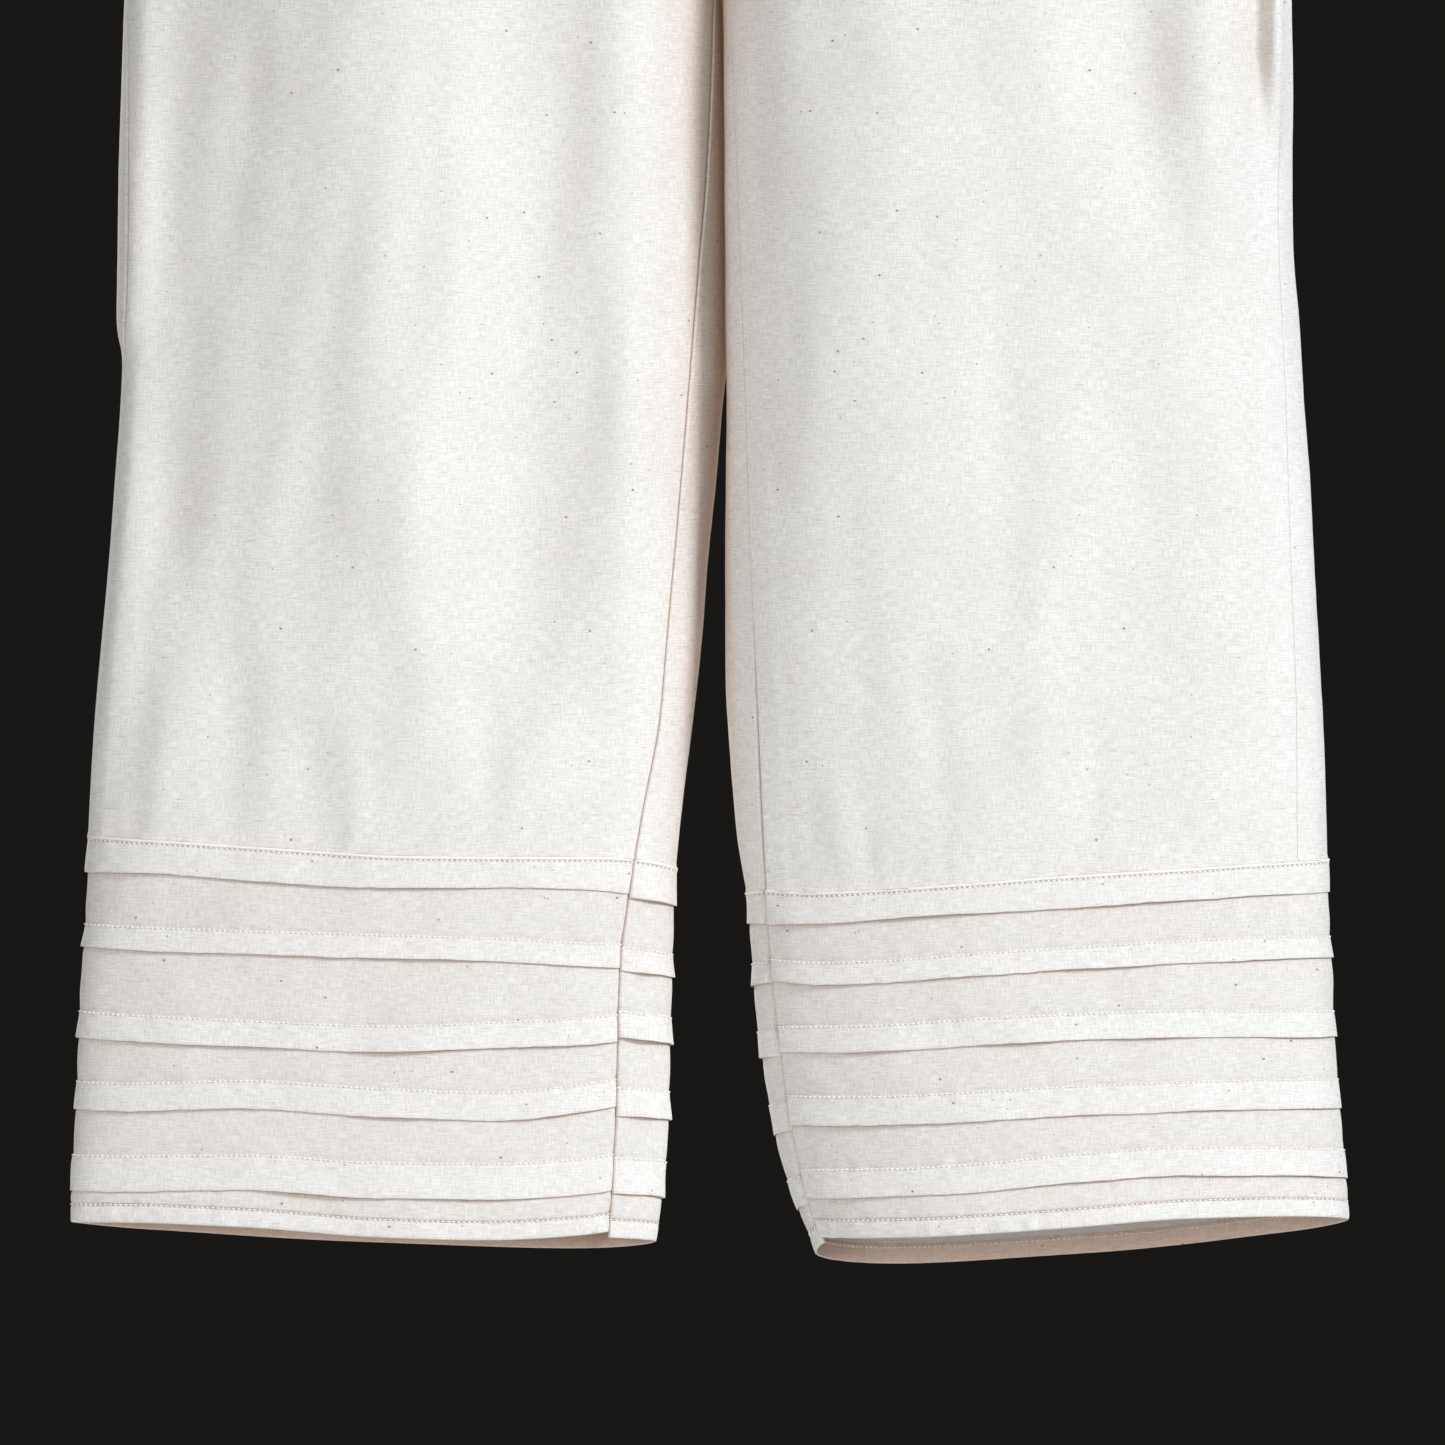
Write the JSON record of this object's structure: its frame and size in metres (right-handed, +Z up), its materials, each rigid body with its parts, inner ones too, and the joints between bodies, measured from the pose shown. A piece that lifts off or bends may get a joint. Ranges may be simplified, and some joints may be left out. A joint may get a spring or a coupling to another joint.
{
  "type": "elasticated wide-leg trousers",
  "caption": "Pull-on cotton trousers with a gathered elastic waist, wide straight legs, side pockets and deep tucked cuffs, filled out and hollow as they hang.",
  "frame": {"origin": "middle of the waist opening, at the top of the waistband, where the garment is held", "axes": "+Z up, the garment hangs towards -Z; the front faces -Y; +X is to the right of someone who looks at the front, the wearer's left"},
  "size_m": [0.6103, 0.1639, 0.917],
  "materials": {
    "cotton": "matt undyed handloom plain weave with slubs and seed flecks",
    "thread": "matt cream sewing thread"
  },
  "bodies": {
    "root": {"front_left": "cotton", "back_left": "cotton", "cuff_left": "cotton", "pocket_bag_left": "cotton", "front_right": "cotton", "back_right": "cotton", "cuff_right": "cotton", "pocket_bag_right": "cotton", "waistband": "cotton"}
  },
  "joints": []
}
